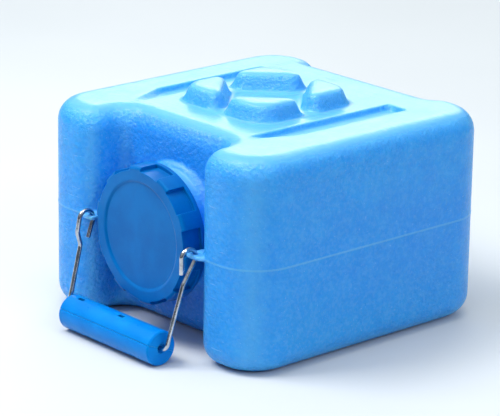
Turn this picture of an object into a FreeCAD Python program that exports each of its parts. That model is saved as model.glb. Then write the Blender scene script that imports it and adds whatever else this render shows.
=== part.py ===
import FreeCAD, Part
import math
import os

from FreeCAD import Vector

os.makedirs("parts", exist_ok=True)

# Stackable water can, in millimetres. Origin at the centre of the can's footprint, on the plane it stands on.
# +X is to the right seen from the cap side, +Y points to the back (the cap faces -Y), +Z is up.

# Blow-moulded body
WIDTH = 228.6            # along X
DEPTH = 228.6            # along Y
HEIGHT = 152.4           # stacking height, base plane to top plane
WALL = 2.8
CORNER_R = 33.0          # upright outer corners
EDGE_R = 16.0            # top and bottom edges
PARTING_H = 0.35         # parting line, proud of the wall
PARTING_W = 1.0

# Recess up the front for the neck, and a shallow one up the back
FRONT_DEPTH = 32.3
FRONT_FLAT = 42.0        # half width of its flat back wall
FRONT_INNER_R = 14.0     # where the back wall turns into the pillars
PILLAR_R = 17.5          # inner front edges of the two pillars
BACK_DEPTH = 8.5
BACK_FLAT = 58.0
BACK_INNER_R = 8.0

# Four stacking lugs on top, and the socket under the base that takes them
LUG_HALF = 46.5          # half side of the square that the lugs fill
LUG_INNER = 37.0         # |x| + |y| of the slanted inner faces
LUG_GAP = 4.0            # half width of the notches between lugs
LUG_H = 12.0
LUG_DRAFT = 4.2          # how far the sides lean in over the height
LUG_CORNER_R = 17.0      # outermost upright corner
LUG_INNER_R = 5.2        # its other upright corners
LUG_TOP_R = 3.8          # round its top
PLINTH_GROW = 2.2
PLINTH_H = 0.8
SOCKET_HALF = 53.0
SOCKET_DEPTH = 14.0
SOCKET_R = 20.0
SOCKET_DRAFT = 3.0
ISLAND = 29.0            # |x| + |y| of the block left in the middle of the socket

# Shallow channels along both sides of the top
CHANNEL_IN = 58.0
CHANNEL_OUT = 77.0
CHANNEL_BACK = 65.0
CHANNEL_FRONT = -70.0
CHANNEL_DEPTH = 4.5
CHANNEL_DRAFT = 2.5
CHANNEL_TIP_W = 6.0      # width of the narrow front end
CHANNEL_TAPER = 34.0     # length over which it widens
CHANNEL_RAMP = 18.0      # length over which its floor runs out at the front
CHANNEL_BEND_R = 12.0
CHANNEL_R = 2.0
CHANNEL_TIP_R = 1.5

# Neck, screw thread and cap, on one level axis
NECK_Z = 76.2
NECK_BORE_R = 39.5
NECK_R = 42.9
NECK_RIM = 110.4         # distance of the rim in front of the origin
NECK_ROOT_R = 47.0
THREAD_PITCH = 6.0
THREAD_H = 1.5
THREAD_BASE = 3.2        # width of a ridge at its foot
THREAD_CREST = 1.3       # and at its crest
NECK_TURNS = 1.25
NECK_START = 10.4        # of the ridge's lower end, behind the rim
CAP_TURNS = 1.0
CAP_START = 11.4
CAP_LEAD = 2.0           # turns the cap's ridge into the gap beside the neck's, as a length along the pitch
CAP_FRONT = 115.3
CAP_DEPTH = 18.5
CAP_R = 49.2
CAP_BORE_R = 45.2
CAP_TOP = 3.3
CAP_PANEL_R = 37.6       # sunken round panel in the cap's face
CAP_PANEL_DEPTH = 1.3
CAP_PADS = 10
PAD_SWEEP = 14.0         # degrees taken by each raised pad
PAD_START = 25.0         # direction of the first pad's centre, counter-clockwise from +X
POCKET_R = 46.4
CAP_BAND = 3.6           # continuous band behind the pockets
GASKET_IN = 40.4
GASKET_OUT = 44.9
GASKET_GAP = 0.03        # to the rim and to the cap
GASKET_EDGE = 0.25

# Ears that carry the bail, and the bail itself
HINGE_Y = -118.2
HINGE_Z = 75.4
HOOK_X = 55.6
HOOK_R = 6.2             # of the wire's centreline round the hinge axis
WIRE_D = 3.2
EAR_TIP = 51.0
EAR_ROOT = 66.0
EAR_FRONT = -117.5
EAR_BACK = -101.6
EAR_T = 3.2
EAR_HOLE_R = 2.9
EAR_HOLE_Y = -111.8
LEG_X = 53.6             # where the bail's legs meet the grip's axis
LEFT_CRANK = ((-126.1, 67.0), (-123.4, 57.5))   # (y, z) of the bends in the left leg
RIGHT_CRANK = ((-122.8, 57.2),)                 # and in the right one
KNEE_R = 6.0
BEND_R = 4.0
HOOK_END = -20.0         # degrees from +Y where the left hook straightens
LEFT_TAIL = 12.5
RIGHT_TAIL = 10.5

# Grip, two half shells that make a hollow tube on the bail's straight run
GRIP_D = 25.0
GRIP_L = 98.0
GRIP_Y = -136.3
GRIP_Z = 12.55
GRIP_WALL = 2.4
GRIP_END = 4.0
GRIP_MOUTH_R = 3.5
GRIP_MOUTH = 2.0
GRIP_CLEAR = 0.05        # radial, between wire and grip
GRIP_EDGE = 1.0
WINDOW_L = 6.0
WINDOW_W = 3.0
WINDOWS = ((84.0, (0.13, 0.58)), (-52.0, (0.28, 0.78)))  # degrees up from -Y, and shares of the length
SEAM_AT = 22.0           # degrees up from -Y of the plane that splits the grip in two
SEAM_GAP = 0.12
SEAM_BEVEL = 0.3


def line(a, b):
    """A straight edge between two points."""
    return Part.LineSegment(a, b).toShape()


def turn(a, mid, b):
    """A circular edge through three points."""
    return Part.Arc(a, mid, b).toShape()


def on_arc(cx, cy, r, degrees):
    """A point in the XY plane on a circle."""
    t = math.radians(degrees)
    return Vector(cx + r * math.cos(t), cy + r * math.sin(t), 0)


def bevelled(points, radii):
    """A closed wire in the XY plane through the corner points, each rounded by its radius."""
    edges = []
    ends = []
    count = len(points)
    for i in range(count):
        here = points[i]
        to_last = (points[i - 1] - here).normalize()
        to_next = (points[(i + 1) % count] - here).normalize()
        half = to_last.getAngle(to_next) / 2
        cut = radii[i] / math.tan(half)
        middle = (to_last + to_next).normalize()
        centre = here + middle * (radii[i] / math.sin(half))
        ends.append((here + to_last * cut, centre - middle * radii[i], here + to_next * cut))
    for i in range(count):
        first, mid, last = ends[i]
        edges.append(turn(first, mid, last))
        edges.append(line(last, ends[(i + 1) % count][0]))
    return Part.Wire(edges)


def lofted(low, low_z, high, high_z):
    """A solid between two wires of the XY plane, lifted to two heights."""
    low = low.copy()
    low.translate(Vector(0, 0, low_z))
    high = high.copy()
    high.translate(Vector(0, 0, high_z))
    return Part.makeLoft([low, high], True, True)


def plan(inset):
    """The body's outline seen from above, moved inwards by inset."""
    x = WIDTH / 2 - inset
    front = -DEPTH / 2 + inset
    back = DEPTH / 2 - inset
    corner = CORNER_R - inset
    wall_y = -DEPTH / 2 + FRONT_DEPTH + inset
    inner = FRONT_INNER_R + inset
    pillar = PILLAR_R - inset
    inner_y = -DEPTH / 2 + FRONT_DEPTH - FRONT_INNER_R
    pillar_x = FRONT_FLAT + FRONT_INNER_R + PILLAR_R
    pillar_y = -DEPTH / 2 + PILLAR_R
    turn_deg = math.degrees(math.acos(1 - BACK_DEPTH / (BACK_INNER_R + PILLAR_R)))
    sweep_x = (BACK_INNER_R + PILLAR_R) * math.sin(math.radians(turn_deg))
    back_wall = DEPTH / 2 - BACK_DEPTH - inset
    back_in_y = DEPTH / 2 - BACK_DEPTH + BACK_INNER_R
    back_out_x = BACK_FLAT + sweep_x
    back_out_y = DEPTH / 2 - PILLAR_R
    back_in_r = BACK_INNER_R + inset
    half = []
    a = Vector(0, wall_y, 0)
    b = Vector(FRONT_FLAT, wall_y, 0)
    half.append(line(a, b))
    c = Vector(FRONT_FLAT + inner, inner_y, 0)
    half.append(turn(b, on_arc(FRONT_FLAT, inner_y, inner, 45), c))
    d = Vector(pillar_x - pillar, pillar_y, 0)
    half.append(line(c, d))
    e = Vector(pillar_x, front, 0)
    half.append(turn(d, on_arc(pillar_x, pillar_y, pillar, 225), e))
    f = Vector(x - corner, front, 0)
    half.append(line(e, f))
    g = Vector(x, front + corner, 0)
    half.append(turn(f, on_arc(x - corner, front + corner, corner, 315), g))
    h = Vector(x, back - corner, 0)
    half.append(line(g, h))
    i = Vector(x - corner, back, 0)
    half.append(turn(h, on_arc(x - corner, back - corner, corner, 45), i))
    j = Vector(back_out_x, back, 0)
    half.append(line(i, j))
    k = on_arc(back_out_x, back_out_y, pillar, 90 + turn_deg)
    half.append(turn(j, on_arc(back_out_x, back_out_y, pillar, 90 + turn_deg / 2), k))
    m = Vector(BACK_FLAT, back_wall, 0)
    mid = on_arc(BACK_FLAT, back_in_y, back_in_r, 270 + turn_deg / 2)
    half.append(turn(k, mid, m))
    half.append(line(m, Vector(0, back_wall, 0)))
    right = Part.Wire(half)
    left = right.mirror(Vector(0, 0, 0), Vector(1, 0, 0))
    return Part.Wire(Part.__sortEdges__(right.Edges + left.Edges))


def block(inset):
    """The body's solid envelope with its rounded top and bottom edges, shrunk by inset."""
    solid = Part.Face(plan(inset)).extrude(Vector(0, 0, HEIGHT - 2 * inset))
    solid.translate(Vector(0, 0, inset))
    rims = []
    for edge in solid.Edges:
        level = edge.BoundBox
        flat = level.ZMax - level.ZMin < 1e-6
        if flat:
            rims.append(edge)
    return solid.makeFillet(EDGE_R - inset, rims)


def lug_outline(inset):
    """One corner lug's outline, in the +X +Y corner, moved inwards by inset."""
    out = LUG_HALF - inset
    gap = LUG_GAP + inset
    slant = LUG_INNER + inset * math.sqrt(2)
    points = [
        Vector(gap, out, 0),
        Vector(gap, slant - gap, 0),
        Vector(slant - gap, gap, 0),
        Vector(out, gap, 0),
        Vector(out, out, 0),
    ]
    tight = LUG_INNER_R - inset * 0.3
    radii = [tight, tight, tight, tight, LUG_CORNER_R - inset * 0.6]
    return bevelled(points, radii)


def lug(inset, low, high):
    """One lug as a drafted solid between two heights over the top plane."""
    low_in = inset + LUG_DRAFT * low / LUG_H
    high_in = inset + LUG_DRAFT * high / LUG_H
    return lofted(lug_outline(low_in), HEIGHT + low, lug_outline(high_in), HEIGHT + high)


def four_turns(shape):
    """The shape repeated in each quadrant round the Z axis."""
    copies = []
    for quarter in range(4):
        copy = shape.copy()
        copy.rotate(Vector(0, 0, 0), Vector(0, 0, 1), 90 * quarter)
        copies.append(copy)
    return copies


def square_wire(half, radius):
    """A rounded square in the XY plane."""
    corners = [Vector(half, half, 0), Vector(-half, half, 0), Vector(-half, -half, 0), Vector(half, -half, 0)]
    return bevelled(corners, [radius] * 4)


def diamond_wire(reach, radius):
    """A rounded square standing on a corner in the XY plane."""
    corners = [Vector(reach, 0, 0), Vector(0, reach, 0), Vector(-reach, 0, 0), Vector(0, -reach, 0)]
    return bevelled(corners, [radius] * 4)


def socket(grow):
    """The space under the base that takes the lugs of the can below, made larger by grow."""
    mouth = square_wire(SOCKET_HALF + grow, SOCKET_R + grow)
    roof = square_wire(SOCKET_HALF - SOCKET_DRAFT + grow, SOCKET_R - SOCKET_DRAFT + grow)
    space = lofted(mouth, -0.001, roof, SOCKET_DEPTH + grow)
    low = diamond_wire(ISLAND - grow * math.sqrt(2), 6.0)
    high = diamond_wire(ISLAND + SOCKET_DRAFT - grow * math.sqrt(2), 6.0)
    if grow > 0:
        return space
    return space.cut(lofted(low, -0.002, high, SOCKET_DEPTH + 0.001))


def island_core():
    """The hollow inside the block in the middle of the socket."""
    low = diamond_wire(ISLAND - WALL * math.sqrt(2), 4.0)
    high = diamond_wire(ISLAND + SOCKET_DRAFT - WALL * math.sqrt(2), 4.0)
    return lofted(low, WALL, high, SOCKET_DEPTH + WALL + 0.5)


def channel(side, grow):
    """A shallow tapered trough in the top, made larger by grow."""
    inner = CHANNEL_IN - grow
    outer = CHANNEL_OUT + grow
    tip = CHANNEL_IN + CHANNEL_TIP_W + grow
    back = CHANNEL_BACK + grow
    front = CHANNEL_FRONT - grow
    widest = CHANNEL_FRONT + CHANNEL_TAPER
    lean = CHANNEL_DRAFT
    rim = [(inner, back), (inner, front), (tip, front), (outer, widest), (outer, back)]
    floor = [
        (inner + lean, back - lean),
        (inner + lean, front + CHANNEL_RAMP),
        (tip - CHANNEL_TIP_W / 6, front + CHANNEL_RAMP),
        (outer - lean, widest + lean),
        (outer - lean, back - lean),
    ]
    radii = [CHANNEL_R, CHANNEL_TIP_R, CHANNEL_TIP_R, CHANNEL_BEND_R, CHANNEL_R]
    low = bevelled([Vector(side * x, y, 0) for x, y in floor], radii)
    high = bevelled([Vector(side * x, y, 0) for x, y in rim], radii)
    return lofted(low, HEIGHT - CHANNEL_DEPTH - grow, high, HEIGHT + 0.01)


def to_front(shape):
    """Turns a shape built round +Z so that its axis runs out of the front at the neck's height."""
    shape.rotate(Vector(0, 0, 0), Vector(1, 0, 0), 90)
    shape.translate(Vector(0, 0, NECK_Z))
    return shape


def turned(profile):
    """A solid of revolution round Z from (radius, height) pairs."""
    points = [Vector(r, 0, z) for r, z in profile]
    points.append(points[0])
    return Part.Face(Part.makePolygon(points)).revolve(Vector(0, 0, 0), Vector(0, 0, 1), 360)


def thread(root_r, crest_r, start_z, turns):
    """A helical ridge standing from root_r to crest_r round Z."""
    helix = Part.makeHelix(THREAD_PITCH, THREAD_PITCH * turns, root_r)
    corners = [
        Vector(root_r, 0, -THREAD_BASE / 2),
        Vector(crest_r, 0, -THREAD_CREST / 2),
        Vector(crest_r, 0, THREAD_CREST / 2),
        Vector(root_r, 0, THREAD_BASE / 2),
    ]
    corners.append(corners[0])
    ridge = Part.Wire(helix.Edges).makePipeShell([Part.makePolygon(corners)], True, True)
    ridge = Part.Solid(ridge) if ridge.ShapeType == "Shell" else ridge
    ridge.translate(Vector(0, 0, start_z))
    return ridge


def neck():
    """The threaded neck, in the cap's own axis."""
    back = DEPTH / 2 - FRONT_DEPTH - WALL + 0.6
    wall = DEPTH / 2 - FRONT_DEPTH
    tube = turned([
        (NECK_BORE_R - 0.5, back),
        (NECK_ROOT_R, back),
        (NECK_ROOT_R, wall + 0.8),
        (NECK_ROOT_R - 1.4, wall + 2.6),
        (NECK_R, wall + 4.4),
        (NECK_R, NECK_RIM - 0.9),
        (NECK_R - 0.9, NECK_RIM),
        (NECK_BORE_R - 0.5, NECK_RIM),
    ])
    ridge = thread(NECK_R - 0.3, NECK_R + THREAD_H, NECK_RIM - NECK_START, NECK_TURNS)
    return to_front(tube.fuse(ridge))


def ear(side):
    """A flat tab out of the pillar, with the hole that the bail's hook goes through."""
    points = [
        Vector(side * EAR_TIP, EAR_FRONT, 0),
        Vector(side * EAR_TIP, EAR_BACK, 0),
        Vector(side * EAR_ROOT, EAR_BACK + 6.0, 0),
        Vector(side * (EAR_ROOT + 6.0), -DEPTH / 2 + 3.0, 0),
        Vector(side * (EAR_ROOT - 3.0), EAR_FRONT, 0),
    ]
    tab = Part.Face(bevelled(points, [1.8, 2.4, 1.0, 1.0, 2.0])).extrude(Vector(0, 0, EAR_T))
    tab.translate(Vector(0, 0, NECK_Z - EAR_T / 2))
    faces = [e for e in tab.Edges if e.BoundBox.ZMax - e.BoundBox.ZMin < 1e-6]
    return tab.makeFillet(0.9, faces)


def ear_hole(side):
    """The hook's hole through the tab."""
    at = Vector(side * HOOK_X, EAR_HOLE_Y, NECK_Z - EAR_T / 2 - 0.4)
    return Part.makeCylinder(EAR_HOLE_R, EAR_T + 0.8, at)


def can_body():
    """The whole blow-moulded shell."""
    outer = block(0)
    band = Part.Face(plan(-PARTING_H)).extrude(Vector(0, 0, PARTING_W))
    band.translate(Vector(0, 0, NECK_Z - PARTING_W / 2))
    band = band.cut(Part.makeBox(2 * NECK_ROOT_R, 40, 40, Vector(-NECK_ROOT_R, -DEPTH / 2 - 2, NECK_Z - 20)))
    plinth = lofted(
        square_wire(LUG_HALF + PLINTH_GROW, LUG_CORNER_R + 2.0),
        HEIGHT - 0.5,
        square_wire(LUG_HALF + PLINTH_GROW - 1.2, LUG_CORNER_R + 0.8),
        HEIGHT + PLINTH_H,
    )
    plinth = plinth.cut(lofted(
        diamond_wire(LUG_INNER - 6.0, 5.0),
        HEIGHT - 0.6,
        diamond_wire(LUG_INNER - 4.8, 5.0),
        HEIGHT + PLINTH_H + 0.01,
    ))
    raised = []
    hollows = []
    solid_lug = lug(0, -0.5, LUG_H)
    rims = [e for e in solid_lug.Edges if e.BoundBox.ZMin > HEIGHT + LUG_H - 1e-3]
    solid_lug = solid_lug.makeFillet(LUG_TOP_R, rims)
    raised.extend(four_turns(solid_lug))
    hollows.extend(four_turns(lug(WALL * 0.85, -WALL - 0.6, LUG_H - WALL)))
    outer = outer.fuse([band, plinth] + raised)
    outer = outer.cut([socket(0), channel(1, 0), channel(-1, 0)])
    cavity = block(WALL)
    cavity = cavity.cut([socket(WALL), channel(1, WALL * 0.9), channel(-1, WALL * 0.9)])
    cavity = cavity.fuse(hollows + [island_core()])
    shell = outer.fuse([neck(), ear(1), ear(-1)])
    bore = to_front(Part.makeCylinder(NECK_BORE_R, 60, Vector(0, 0, NECK_RIM - 55)))
    shell = shell.cut(cavity.fuse(bore))
    shell = shell.cut([ear_hole(1), ear_hole(-1)])
    return shell.removeSplitter()


def screw_cap():
    """The cap: skirt with grip pads, sunken panel and an inside thread."""
    back = CAP_FRONT - CAP_DEPTH
    inside = CAP_FRONT - CAP_TOP
    cap = turned([
        (0, inside),
        (CAP_BORE_R, inside),
        (CAP_BORE_R, back + 1.0),
        (CAP_BORE_R + 1.0, back),
        (CAP_R - 0.6, back),
        (CAP_R, back + 0.6),
        (CAP_R, CAP_FRONT - 2.2),
        (CAP_R - 0.6, CAP_FRONT - 0.8),
        (CAP_R - 2.0, CAP_FRONT),
        (CAP_PANEL_R + 2.2, CAP_FRONT),
        (CAP_PANEL_R + 1.2, CAP_FRONT - 0.3),
        (CAP_PANEL_R, CAP_FRONT - CAP_PANEL_DEPTH),
        (0, CAP_FRONT - CAP_PANEL_DEPTH),
    ])
    step = 360.0 / CAP_PADS
    pockets = []
    for i in range(CAP_PADS):
        low = back + CAP_BAND
        ring = Part.makeCylinder(CAP_R + 2, CAP_FRONT + 1 - low, Vector(0, 0, low), Vector(0, 0, 1), step - PAD_SWEEP)
        ring = ring.cut(Part.makeCylinder(POCKET_R, CAP_FRONT + 2 - low, Vector(0, 0, low - 0.5)))
        ring.rotate(Vector(0, 0, 0), Vector(0, 0, 1), PAD_START + PAD_SWEEP / 2 + step * i)
        pockets.append(ring)
    cap = cap.cut(pockets)
    ridge = thread(CAP_BORE_R + 0.3, CAP_BORE_R - THREAD_H - 0.3, NECK_RIM - CAP_START, CAP_TURNS)
    ridge.rotate(Vector(0, 0, 0), Vector(0, 0, 1), 360 * CAP_LEAD / THREAD_PITCH)
    return to_front(cap.fuse(ridge)).removeSplitter()


def cap_gasket():
    """The flat sealing ring between the neck's rim and the cap."""
    low = NECK_RIM + GASKET_GAP
    high = CAP_FRONT - CAP_TOP - GASKET_GAP
    ring = turned([
        (GASKET_IN, low + GASKET_EDGE),
        (GASKET_IN + GASKET_EDGE, low),
        (GASKET_OUT - GASKET_EDGE, low),
        (GASKET_OUT, low + GASKET_EDGE),
        (GASKET_OUT, high - GASKET_EDGE),
        (GASKET_OUT - GASKET_EDGE, high),
        (GASKET_IN + GASKET_EDGE, high),
        (GASKET_IN, high - GASKET_EDGE),
    ])
    return to_front(ring)


def bent(points, radii):
    """Edges of a rod's centreline through the points, rounded at each inner one."""
    edges = []
    start = points[0]
    for i in range(1, len(points) - 1):
        here = points[i]
        to_last = (points[i - 1] - here).normalize()
        to_next = (points[i + 1] - here).normalize()
        half = to_last.getAngle(to_next) / 2
        cut = radii[i - 1] / math.tan(half)
        middle = (to_last + to_next).normalize()
        centre = here + middle * (radii[i - 1] / math.sin(half))
        edges.append(line(start, here + to_last * cut))
        edges.append(turn(here + to_last * cut, centre - middle * radii[i - 1], here + to_next * cut))
        start = here + to_next * cut
    edges.append(line(start, points[-1]))
    return edges


def hook_point(x, degrees):
    """A point at a direction round the hinge axis, counted from +Y towards +Z."""
    t = math.radians(degrees)
    return Vector(x, HINGE_Y + HOOK_R * math.cos(t), HINGE_Z + HOOK_R * math.sin(t))


def touch_angle(knee_y, knee_z, side):
    """Direction of the point where a leg from the knee touches the hook's circle."""
    dy = knee_y - HINGE_Y
    dz = knee_z - HINGE_Z
    reach = math.hypot(dy, dz)
    towards = math.degrees(math.atan2(dz, dy))
    return towards + side * math.degrees(math.acos(HOOK_R / reach))


def bail_wire():
    """One steel wire: a hook through each ear, two cranked legs and the run through the grip."""
    left_on = touch_angle(LEFT_CRANK[0][0], LEFT_CRANK[0][1], -1)
    right_on = touch_angle(RIGHT_CRANK[0][0], RIGHT_CRANK[0][1], 1)
    left_off = hook_point(-HOOK_X, HOOK_END)
    t = math.radians(HOOK_END)
    along = Vector(0, -math.sin(t), math.cos(t))
    over = (HOOK_END + left_on + 360) / 2
    path = [line(left_off - along * LEFT_TAIL, left_off)]
    path.append(turn(left_off, hook_point(-HOOK_X, over), hook_point(-HOOK_X, left_on)))
    points = [hook_point(-HOOK_X, left_on)]
    points.extend(Vector(-HOOK_X, y, z) for y, z in LEFT_CRANK)
    points.append(Vector(-LEG_X, GRIP_Y, GRIP_Z))
    points.append(Vector(LEG_X, GRIP_Y, GRIP_Z))
    points.extend(Vector(HOOK_X, y, z) for y, z in reversed(RIGHT_CRANK))
    points.append(hook_point(HOOK_X, right_on))
    radii = [KNEE_R] * len(LEFT_CRANK) + [BEND_R, BEND_R] + [KNEE_R] * len(RIGHT_CRANK)
    path.extend(bent(points, radii))
    front = hook_point(HOOK_X, 180)
    over = (right_on + 180) / 2
    path.append(turn(hook_point(HOOK_X, right_on), hook_point(HOOK_X, over), front))
    path.append(line(front, front - Vector(0, 0, RIGHT_TAIL)))
    ring = Part.Wire(Part.makeCircle(WIRE_D / 2, left_off - along * LEFT_TAIL, along))
    rod = Part.Wire(path).makePipeShell([ring], True, False)
    return Part.Solid(rod) if rod.ShapeType == "Shell" else rod


def grip_tube():
    """The whole grip round the bail's straight run, with its windows and before it is split."""
    r = GRIP_D / 2
    half = GRIP_L / 2
    core = r - GRIP_WALL
    pin = WIRE_D / 2 + GRIP_CLEAR
    tube = turned([
        (pin, GRIP_MOUTH - half),
        (GRIP_MOUTH_R, GRIP_MOUTH - half),
        (GRIP_MOUTH_R, -half),
        (r - GRIP_EDGE, -half),
        (r, GRIP_EDGE - half),
        (r, half - GRIP_EDGE),
        (r - GRIP_EDGE, half),
        (GRIP_MOUTH_R, half),
        (GRIP_MOUTH_R, half - GRIP_MOUTH),
        (pin, half - GRIP_MOUTH),
        (pin, half - GRIP_END),
        (core, half - GRIP_END),
        (core, GRIP_END - half),
        (pin, GRIP_END - half),
    ])
    tube.rotate(Vector(0, 0, 0), Vector(0, 1, 0), 90)
    cuts = []
    for up, shares in WINDOWS:
        for share in shares:
            hole = Part.makeBox(WINDOW_L, 2 * GRIP_WALL, WINDOW_W)
            hole.translate(Vector(share * GRIP_L - half - WINDOW_L / 2, -r - GRIP_WALL / 2, -WINDOW_W / 2))
            hole.rotate(Vector(0, 0, 0), Vector(1, 0, 0), -up)
            cuts.append(hole)
    return tube.cut(cuts)


def grip_half(side):
    """One of the two half shells that snap together round the wire, split on the seam's plane."""
    reach = GRIP_D
    slab = Part.makeBox(GRIP_L + 2, 2 * reach, reach)
    slab.translate(Vector(-GRIP_L / 2 - 1, -reach, SEAM_GAP / 2 if side > 0 else -reach - SEAM_GAP / 2))
    slab.rotate(Vector(0, 0, 0), Vector(1, 0, 0), -SEAM_AT)
    half = grip_tube().common(slab)
    seam = [e for e in half.Edges if on_seam(e, side)]
    half = half.makeChamfer(SEAM_BEVEL, seam)
    half.translate(Vector(0, GRIP_Y, GRIP_Z))
    return half


def on_seam(edge, side):
    """Whether an edge is one of the two long outer edges along the seam."""
    box = edge.BoundBox
    if box.XMax - box.XMin < GRIP_L * 0.7:
        return False
    t = math.radians(SEAM_AT)
    mid = edge.valueAt((edge.FirstParameter + edge.LastParameter) / 2)
    out = math.hypot(mid.y, mid.z)
    off = mid.y * math.sin(t) + mid.z * math.cos(t)
    return out > GRIP_D / 2 - 0.2 and abs(off - side * SEAM_GAP / 2) < 0.02


def grip_upper_half():
    """The half shell over the seam."""
    return grip_half(1)


def grip_lower_half():
    """The half shell under the seam."""
    return grip_half(-1)


NODES = {
    "can_body": can_body,
    "screw_cap": screw_cap,
    "cap_gasket": cap_gasket,
    "bail_wire": bail_wire,
    "grip_upper_half": grip_upper_half,
    "grip_lower_half": grip_lower_half,
}

for name, make in NODES.items():
    shape = make()
    if shape.ShapeType == "Compound" and len(shape.Solids) == 1:
        shape = shape.Solids[0]
    size = shape.BoundBox
    print(name, shape.ShapeType, len(shape.Solids), shape.isValid(), round(shape.Volume / 1000, 2),
          [round(v, 2) for v in (size.XMin, size.YMin, size.ZMin, size.XMax, size.YMax, size.ZMax)])
    shape.exportStep("parts/" + name + ".step")
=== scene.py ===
"""Looks of the stackable water can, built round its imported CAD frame. Metres, +Z up, cap towards -Y."""

import math

import bpy
from mathutils import Matrix, Vector


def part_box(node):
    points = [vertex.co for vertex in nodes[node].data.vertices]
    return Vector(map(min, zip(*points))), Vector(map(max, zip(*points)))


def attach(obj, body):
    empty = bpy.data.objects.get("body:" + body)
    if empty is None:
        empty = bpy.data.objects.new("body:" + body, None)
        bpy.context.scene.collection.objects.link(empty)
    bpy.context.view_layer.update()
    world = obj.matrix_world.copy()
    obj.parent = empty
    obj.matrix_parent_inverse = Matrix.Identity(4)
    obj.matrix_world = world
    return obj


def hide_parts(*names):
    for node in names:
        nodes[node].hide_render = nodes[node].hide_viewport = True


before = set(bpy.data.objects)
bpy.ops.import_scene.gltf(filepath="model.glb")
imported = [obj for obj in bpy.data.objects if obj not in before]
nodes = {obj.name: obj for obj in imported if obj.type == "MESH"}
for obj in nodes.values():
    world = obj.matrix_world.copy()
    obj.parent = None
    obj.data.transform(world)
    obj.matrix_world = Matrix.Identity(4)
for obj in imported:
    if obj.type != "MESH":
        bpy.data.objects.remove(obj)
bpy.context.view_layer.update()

# View of the photograph, seen from the middle of the can
VIEW_AZIMUTH = 48.1
VIEW_ELEVATION = 17.6
VIEW_ROLL = 0.9
VIEW_DISTANCE = 1.943
LENS = 196.0
AIM_OFFSET = (0.0, -0.012, -0.006)
CAN_MIDDLE = (0.0, 0.0, 0.076)

# Places on the can that its paint, painted light and painted shade follow
PARTING_Z = 0.0762
SIDE_SHADE_Z = 0.062
LUG_BAND = (0.150, 0.165)
RECESS_SIDE = (0.040, 0.064)
RECESS_BACK = (-0.080, -0.060)
RECESS_MOUTH = (-0.074, -0.094)
RECESS_TOP = (0.146, 0.151)


def direction(azimuth, elevation):
    """Unit vector from the can towards a viewer. Azimuth 0 faces the cap and 90 faces the +X side."""
    a = math.radians(azimuth)
    e = math.radians(elevation)
    return Vector((math.sin(a) * math.cos(e), -math.cos(a) * math.cos(e), math.sin(e)))


# Node helpers


def material(name):
    """An empty node material with its Principled shader and a small wiring kit."""
    mat = bpy.data.materials.new(name)
    mat.use_nodes = True
    tree = mat.node_tree
    return mat, tree, tree.nodes["Principled BSDF"]


def add(tree, kind, **values):
    """A shader node. Keyword names are its properties, or its inputs where the value's name matches one."""
    node = tree.nodes.new("ShaderNode" + kind)
    for key, value in values.items():
        socket = key.replace("_", " ")
        if socket in node.inputs:
            node.inputs[socket].default_value = value
        else:
            setattr(node, key, value)
    return node


def wire(tree, out, into):
    """Links two sockets."""
    tree.links.new(out, into)


def noise(tree, scale, detail=2.0, roughness=0.5, coords=None):
    """A 3-D noise value between 0 and 1, in object space."""
    node = add(tree, "TexNoise", Scale=scale, Detail=detail, Roughness=roughness)
    if coords is None:
        coords = add(tree, "TexCoord").outputs["Object"]
    wire(tree, coords, node.inputs["Vector"])
    return node.outputs["Fac"]


def ramp(tree, value, stops):
    """A colour ramp over a value. Stops are (position, colour) pairs."""
    node = add(tree, "ValToRGB")
    node.color_ramp.interpolation = "EASE"
    while len(node.color_ramp.elements) < len(stops):
        node.color_ramp.elements.new(0.5)
    for element, (at, colour) in zip(node.color_ramp.elements, stops):
        element.position = at
        element.color = (*colour, 1)
    wire(tree, value, node.inputs["Fac"])
    return node.outputs["Color"]


def give(node_name, mat):
    """Puts one material on every slot of a CAD node."""
    mesh = nodes[node_name].data
    mesh.materials.clear()
    mesh.materials.append(mat)


# Body shell

VOXEL = 0.0009
SOFTEN_ROUNDS = 7
LUG_ROUNDS = 105  # more for the lugs, which are the roundest part of the moulding
LUG_FOOT = 0.1535
LUG_SWELL = 1.10  # makes up for the height that softening takes off them


def bake(piece):
    """Turns a piece's modifiers into its mesh, which is returned."""
    shape = piece.evaluated_get(bpy.context.evaluated_depsgraph_get())
    mesh = bpy.data.meshes.new_from_object(shape)
    piece.modifiers.clear()
    piece.data = mesh
    return mesh


def soften(piece, rounds, group=""):
    """Adds a smoothing pass over a piece, or over one of its vertex groups."""
    smoother = piece.modifiers.new("soften", "SMOOTH")
    smoother.factor = 0.5
    smoother.iterations = rounds
    smoother.vertex_group = group


def softened_body():
    """The can's CAD shell with moulded, slightly melted edges, in place of the hard-edged one."""
    source = nodes["can_body"]
    piece = bpy.data.objects.new("soft_can_body", source.data.copy())
    piece.matrix_world = source.matrix_world.copy()
    bpy.context.scene.collection.objects.link(piece)
    grid = piece.modifiers.new("regrid", "REMESH")
    grid.mode = "VOXEL"
    grid.voxel_size = VOXEL
    grid.use_smooth_shade = True
    soften(piece, SOFTEN_ROUNDS)
    mesh = bake(piece)
    for v in mesh.vertices:
        if v.co.z > LUG_FOOT:
            v.co.z = LUG_FOOT + (v.co.z - LUG_FOOT) * LUG_SWELL
    lugs = piece.vertex_groups.new(name="lugs")
    lugs.add([v.index for v in mesh.vertices if v.co.z > LUG_FOOT], 1.0, "REPLACE")
    soften(piece, LUG_ROUNDS, "lugs")
    mesh = bake(piece)
    piece.vertex_groups.clear()
    mesh.name = "soft_can_body"
    mesh.polygons.foreach_set("use_smooth", [True] * len(mesh.polygons))
    mesh.materials.clear()
    mesh.materials.append(body_plastic())
    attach(piece, "can")
    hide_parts("can_body")


# Materials


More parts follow.
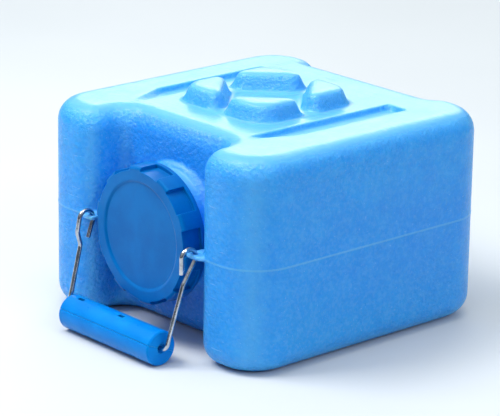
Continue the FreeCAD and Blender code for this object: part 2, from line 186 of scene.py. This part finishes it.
def mixed(tree, fac, a, b):
    """A blend of two colours, each a socket or a triple."""
    node = tree.nodes.new("ShaderNodeMix")
    node.data_type = "RGBA"
    for value, into in ((fac, node.inputs[0]), (a, node.inputs[6]), (b, node.inputs[7])):
        if isinstance(value, tuple):
            into.default_value = (*value, 1)
        else:
            wire(tree, value, into)
    return node.outputs[2]


def calc(tree, operation, a, b=0.0, c=0.0):
    """One arithmetic step on sockets or numbers."""
    node = add(tree, "Math", operation=operation)
    for value, into in zip((a, b, c), node.inputs):
        if isinstance(value, (int, float)):
            into.default_value = value
        else:
            wire(tree, value, into)
    return node.outputs[0]


def span(tree, value, low, high, to_low=0.0, to_high=1.0):
    """The value rescaled smoothly from one range to another, and held at its ends."""
    node = add(tree, "MapRange", interpolation_type="SMOOTHSTEP")
    wire(tree, value, node.inputs["Value"])
    for name, number in (("From Min", low), ("From Max", high), ("To Min", to_low), ("To Max", to_high)):
        node.inputs[name].default_value = number
    return node.outputs["Result"]


def scratches(tree, coords, scale, stretch, low, high):
    """Fine long marks, as a mask between 0 and 1."""
    squeeze = add(tree, "Mapping")
    squeeze.inputs["Scale"].default_value = stretch
    squeeze.inputs["Rotation"].default_value = (0.3, 0.2, 0.5)
    wire(tree, coords, squeeze.inputs["Vector"])
    return span(tree, noise(tree, scale, 2.0, 0.6, squeeze.outputs["Vector"]), low, high)


def body_plastic():
    """Light blue translucent polyethylene: pebbled sides, a smoother top with flow lines, and painted light
    and shade: pale top, lugs and edges, deeper blue in the middle of the sides and in the recess.
    """
    mat, tree, shader = material("body_plastic")
    coords = add(tree, "TexCoord").outputs["Object"]
    place = add(tree, "SeparateXYZ")
    wire(tree, coords, place.inputs[0])
    facing = add(tree, "SeparateXYZ")
    wire(tree, add(tree, "NewGeometry").outputs["Normal"], facing.inputs[0])
    upward = span(tree, facing.outputs["Z"], 0.55, 0.93)
    # Random cloudy tone and mottling of the plastic, then painted light: the lugs and the top paler
    cloud = noise(tree, 11.0, 4.0, 0.55, coords)
    base = ramp(tree, cloud, [(0.28, (0.004, 0.300, 0.90)), (0.72, (0.012, 0.360, 0.97))])
    mottle = noise(tree, 90.0, 3.0, 0.6, coords)
    base = mixed(tree, span(tree, mottle, 0.35, 0.75, 0.0, 0.35), base, (0.03, 0.42, 0.98))
    # Painted light: paler lugs, and paler faces that look upward
    painted_lug_light = span(tree, place.outputs["Z"], *LUG_BAND)
    base = mixed(tree, calc(tree, "MULTIPLY", painted_lug_light, 0.45), base, (0.13, 0.50, 0.86))
    base = mixed(tree, calc(tree, "MULTIPLY", upward, 0.85), base, (0.155, 0.50, 0.74))
    # Painted shade: deeper blue at the middle height of each side; painted light: paler along the rounded
    # edges
    painted_side_shade = calc(tree, "ABSOLUTE", calc(tree, "SUBTRACT", place.outputs["Z"], SIDE_SHADE_Z))
    painted_side_shade = span(tree, painted_side_shade, 0.010, 0.070, 1.0, 0.0)
    base = mixed(tree, calc(tree, "MULTIPLY", painted_side_shade, 0.30), base, (0.0, 0.235, 0.90))
    flats = [calc(tree, "ABSOLUTE", facing.outputs[axis]) for axis in "XYZ"]
    flat = calc(tree, "MAXIMUM", calc(tree, "MAXIMUM", flats[0], flats[1]), flats[2])
    base = mixed(tree, span(tree, flat, 0.96, 0.72, 0.0, 0.40), base, (0.10, 0.48, 0.95))
    # Painted shade on the back wall of the recess, a stronger blue
    deep = span(tree, place.outputs["Y"], *RECESS_MOUTH, 1.0, 0.0)
    side = span(tree, calc(tree, "ABSOLUTE", place.outputs["X"]), *RECESS_SIDE, 1.0, 0.0)
    recess_shade = calc(tree, "MULTIPLY", calc(tree, "MULTIPLY", deep, side), 0.60)
    front = span(tree, place.outputs["Y"], *RECESS_BACK, 1.0, 0.0)
    below = span(tree, place.outputs["Z"], *RECESS_TOP, 1.0, 0.0)
    recess_shade = calc(tree, "MULTIPLY", recess_shade, calc(tree, "MULTIPLY", front, below))
    base = mixed(tree, recess_shade, base, (0.0, 0.20, 0.88))
    # Parting line, painted light along the edges, scratches and the fine speckle of the pebbled walls
    seam = calc(tree, "ABSOLUTE", calc(tree, "SUBTRACT", place.outputs["Z"], PARTING_Z))
    seam = calc(tree, "MULTIPLY", span(tree, seam, 0.0003, 0.0011, 1.0, 0.0), 0.40)
    base = mixed(tree, seam, base, (0.16, 0.56, 0.90))
    # Painted light: paler on the sharpest edges, broken up by the mottling
    edge = add(tree, "NewGeometry").outputs["Pointiness"]
    lit_edge = calc(tree, "MULTIPLY", span(tree, edge, 0.505, 0.56), span(tree, mottle, 0.3, 0.7, 0.35, 0.9))
    base = mixed(tree, calc(tree, "MULTIPLY", lit_edge, 0.55), base, (0.24, 0.64, 0.92))
    marks = scratches(tree, coords, 60.0, (1.0, 14.0, 14.0), 0.66, 0.74)
    base = mixed(tree, calc(tree, "MULTIPLY", marks, 0.16), base, (0.34, 0.70, 0.92))
    walls = calc(tree, "SUBTRACT", 1.0, upward)
    speckle = calc(tree, "MULTIPLY", noise(tree, 330.0, 3.0, 0.65, coords), walls)
    base = mixed(tree, span(tree, speckle, 0.42, 0.66, 0.0, 0.24), base, (0.10, 0.47, 0.98))
    base = mixed(tree, span(tree, speckle, 0.40, 0.20, 0.0, 0.16), base, (0.0, 0.22, 0.84))
    wire(tree, base, shader.inputs["Base Color"])
    # Sheen, broken up by the mottling
    rough = calc(tree, "MULTIPLY_ADD", mottle, 0.10, 0.17)
    rough = calc(tree, "ADD", rough, calc(tree, "MULTIPLY", upward, 0.10))
    wire(tree, calc(tree, "ADD", rough, calc(tree, "MULTIPLY", marks, 0.10)), shader.inputs["Roughness"])
    shader.inputs["Subsurface Weight"].default_value = 0.40
    shader.inputs["Subsurface Radius"].default_value = (0.12, 0.55, 1.0)
    shader.inputs["Subsurface Scale"].default_value = 0.006
    shader.inputs["IOR"].default_value = 1.50
    # Relief: pebbles on the sides, shallow streaks on the top, slow waves everywhere
    pebble = add(tree, "TexVoronoi", Scale=400.0, feature="SMOOTH_F1")
    wire(tree, coords, pebble.inputs["Vector"])
    dust = calc(tree, "MULTIPLY", noise(tree, 1100.0, 2.0, 0.6, coords), 0.9)
    grain = calc(tree, "ADD", pebble.outputs["Distance"], dust)
    grain = calc(tree, "MULTIPLY", grain, calc(tree, "SUBTRACT", 1.0, calc(tree, "MULTIPLY", upward, 0.90)))
    streak = add(tree, "Mapping")
    streak.inputs["Scale"].default_value = (1.0, 9.0, 1.0)
    wire(tree, coords, streak.inputs["Vector"])
    flow = noise(tree, 26.0, 3.0, 0.55, streak.outputs["Vector"])
    flow = calc(tree, "MULTIPLY", flow, calc(tree, "MULTIPLY", upward, 0.40))
    waves = calc(tree, "MULTIPLY", noise(tree, 22.0, 2.0, 0.5, coords), 1.6)
    relief = calc(tree, "ADD", calc(tree, "ADD", grain, flow), waves)
    bump = add(tree, "Bump", Strength=1.0, Distance=0.0008)
    wire(tree, relief, bump.inputs["Height"])
    wire(tree, bump.outputs["Normal"], shader.inputs["Normal"])
    return mat


def blue_plastic(name, dark, light, edge_light_and_wear, roughness, glow):
    """Deeper blue moulded polyethylene of the cap and grip, with painted light along its edges and paler worn
    scratches.
    """
    mat, tree, shader = material(name)
    coords = add(tree, "TexCoord").outputs["Object"]
    cloud = noise(tree, 34.0, 4.0, 0.6, coords)
    base = ramp(tree, cloud, [(0.3, dark), (0.7, light)])
    fine = noise(tree, 240.0, 3.0, 0.6, coords)
    # Painted light along the edges, found by comparing the bevelled and the true normal
    bevel = add(tree, "Bevel", samples=6)
    bevel.inputs["Radius"].default_value = 0.0009
    dot = tree.nodes.new("ShaderNodeVectorMath")
    dot.operation = "DOT_PRODUCT"
    wire(tree, bevel.outputs["Normal"], dot.inputs[0])
    wire(tree, add(tree, "NewGeometry").outputs["Normal"], dot.inputs[1])
    lit_edge = span(tree, dot.outputs["Value"], 0.97, 0.80)
    lit_edge = calc(tree, "MULTIPLY", lit_edge, span(tree, fine, 0.25, 0.65, 0.25, 0.8))
    base = mixed(tree, lit_edge, base, edge_light_and_wear)
    marks = scratches(tree, coords, 150.0, (1.0, 1.0, 9.0), 0.66, 0.75)
    base = mixed(tree, calc(tree, "MULTIPLY", marks, 0.22), base, edge_light_and_wear)
    wire(tree, base, shader.inputs["Base Color"])
    rough = calc(tree, "MULTIPLY_ADD", fine, 0.14, roughness - 0.07)
    wire(tree, calc(tree, "ADD", rough, calc(tree, "MULTIPLY", marks, 0.12)), shader.inputs["Roughness"])
    shader.inputs["Specular IOR Level"].default_value = 0.28
    shader.inputs["Specular Tint"].default_value = (0.08, 0.55, 1.0, 1)
    shader.inputs["Subsurface Weight"].default_value = glow
    shader.inputs["Subsurface Radius"].default_value = (0.05, 0.4, 1.0)
    shader.inputs["Subsurface Scale"].default_value = 0.002
    grain = calc(tree, "ADD", noise(tree, 1300.0, 2.0, 0.6, coords), calc(tree, "MULTIPLY", cloud, 2.0))
    bump = add(tree, "Bump", Strength=0.30, Distance=0.0002)
    wire(tree, grain, bump.inputs["Height"])
    wire(tree, bevel.outputs["Normal"], bump.inputs["Normal"])
    wire(tree, bump.outputs["Normal"], shader.inputs["Normal"])
    return mat


def steel():
    """Bright plated wire with fine drawing lines and dull spots."""
    mat, tree, shader = material("bail_steel")
    coords = add(tree, "TexCoord").outputs["Object"]
    shader.inputs["Metallic"].default_value = 1.0
    dull = noise(tree, 170.0, 4.0, 0.6, coords)
    base = ramp(tree, dull, [(0.30, (0.34, 0.36, 0.40)), (0.70, (0.66, 0.69, 0.74))])
    drawn = scratches(tree, coords, 700.0, (0.08, 1.0, 1.0), 0.45, 0.70)
    base = mixed(tree, calc(tree, "MULTIPLY", drawn, 0.25), base, (0.16, 0.18, 0.22))
    wire(tree, base, shader.inputs["Base Color"])
    wire(tree, calc(tree, "MULTIPLY_ADD", dull, 0.16, 0.04), shader.inputs["Roughness"])
    bump = add(tree, "Bump", Strength=0.25, Distance=0.0001)
    wire(tree, calc(tree, "ADD", drawn, noise(tree, 500.0, 3.0, 0.6, coords)), bump.inputs["Height"])
    wire(tree, bump.outputs["Normal"], shader.inputs["Normal"])
    return mat


def rubber():
    """Off-white sealing ring, dusty in patches."""
    mat, tree, shader = material("gasket_rubber")
    coords = add(tree, "TexCoord").outputs["Object"]
    dust = noise(tree, 400.0, 4.0, 0.6, coords)
    base = ramp(tree, dust, [(0.3, (0.55, 0.56, 0.55)), (0.7, (0.72, 0.72, 0.70))])
    wire(tree, base, shader.inputs["Base Color"])
    wire(tree, calc(tree, "MULTIPLY_ADD", dust, 0.25, 0.55), shader.inputs["Roughness"])
    bump = add(tree, "Bump", Strength=0.3, Distance=0.0001)
    wire(tree, dust, bump.inputs["Height"])
    wire(tree, bump.outputs["Normal"], shader.inputs["Normal"])
    return mat


cap_mat = blue_plastic("cap_plastic", (0.0, 0.115, 0.40), (0.0, 0.150, 0.48), (0.0, 0.25, 0.72), 0.34, 0.15)
give("screw_cap", cap_mat)
grip_mat = blue_plastic("grip_plastic", (0.0, 0.190, 0.62), (0.002, 0.24, 0.72), (0.03, 0.42, 0.90), 0.30, 0.2)
give("grip_upper_half", grip_mat)
give("grip_lower_half", grip_mat)
give("bail_wire", steel())
give("cap_gasket", rubber())
softened_body()


# Studio

FLOOR_HALF = 6.0


def floor():
    """A wide pale floor under the can."""
    mesh = bpy.data.meshes.new("studio_floor")
    s = FLOOR_HALF
    mesh.from_pydata([(-s, -s, 0), (s, -s, 0), (s, s, 0), (-s, s, 0)], [], [(0, 1, 2, 3)])
    obj = bpy.data.objects.new("studio_floor", mesh)
    bpy.context.scene.collection.objects.link(obj)
    mat, tree, shader = material("studio_paper")
    wire(tree, ramp(tree, noise(tree, 3.0), [(0.3, (0.60, 0.635, 0.655)), (0.7, (0.62, 0.655, 0.675))]),
         shader.inputs["Base Color"])
    shader.inputs["Roughness"].default_value = 0.85
    mesh.materials.append(mat)


def softbox(name, azimuth, elevation, distance, size, power, colour=(1, 1, 1)):
    """An area lamp aimed at the can."""
    lamp = bpy.data.lights.new(name, "AREA")
    lamp.shape = "RECTANGLE"
    lamp.size, lamp.size_y = size
    lamp.energy = power
    lamp.color = colour
    obj = bpy.data.objects.new(name, lamp)
    back = direction(azimuth, elevation)
    obj.location = Vector(CAN_MIDDLE) + back * distance
    obj.rotation_euler = (-back).to_track_quat("-Z", "Y").to_euler()
    bpy.context.scene.collection.objects.link(obj)


def studio():
    """Floor, lamps and the pale surroundings."""
    floor()
    softbox("key_light", -34, 56, 1.6, (0.7, 0.7), 22)
    softbox("back_light", 222, 26, 2.9, (1.6, 1.0), 22)
    softbox("top_light", 40, 80, 1.7, (0.8, 0.8), 8)
    softbox("fill_light", 96, 30, 2.0, (0.7, 0.7), 8, (0.90, 0.96, 1.0))
    world = bpy.data.worlds.new("studio_air")
    world.use_nodes = True
    tree = world.node_tree
    up = add(tree, "SeparateXYZ")
    wire(tree, add(tree, "TexCoord").outputs["Generated"], up.inputs[0])
    sky = ramp(tree, up.outputs["Z"], [(0.05, (0.10, 0.12, 0.14)), (0.65, (0.62, 0.66, 0.69))])
    wire(tree, sky, tree.nodes["Background"].inputs["Color"])
    tree.nodes["Background"].inputs["Strength"].default_value = 1.0
    bpy.context.scene.world = world
    bpy.context.scene.view_settings.view_transform = "Standard"


def camera():
    """The photograph's viewpoint, aimed at the middle of the can."""
    low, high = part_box("can_body")
    middle = Vector(((low[0] + high[0]) / 2, (low[1] + high[1]) / 2, high[2] / 2))
    aim = middle + Vector(AIM_OFFSET)
    data = bpy.data.cameras.new("camera")
    data.lens = LENS
    data.sensor_width = 36.0
    obj = bpy.data.objects.new("camera", data)
    back = direction(VIEW_AZIMUTH, VIEW_ELEVATION)
    obj.location = aim + back * VIEW_DISTANCE
    turn = (-back).to_track_quat("-Z", "Y")
    roll = Matrix.Rotation(math.radians(VIEW_ROLL), 4, "Z").to_quaternion()
    obj.rotation_euler = (turn @ roll).to_euler()
    bpy.context.scene.collection.objects.link(obj)
    bpy.context.scene.camera = obj


camera()
studio()
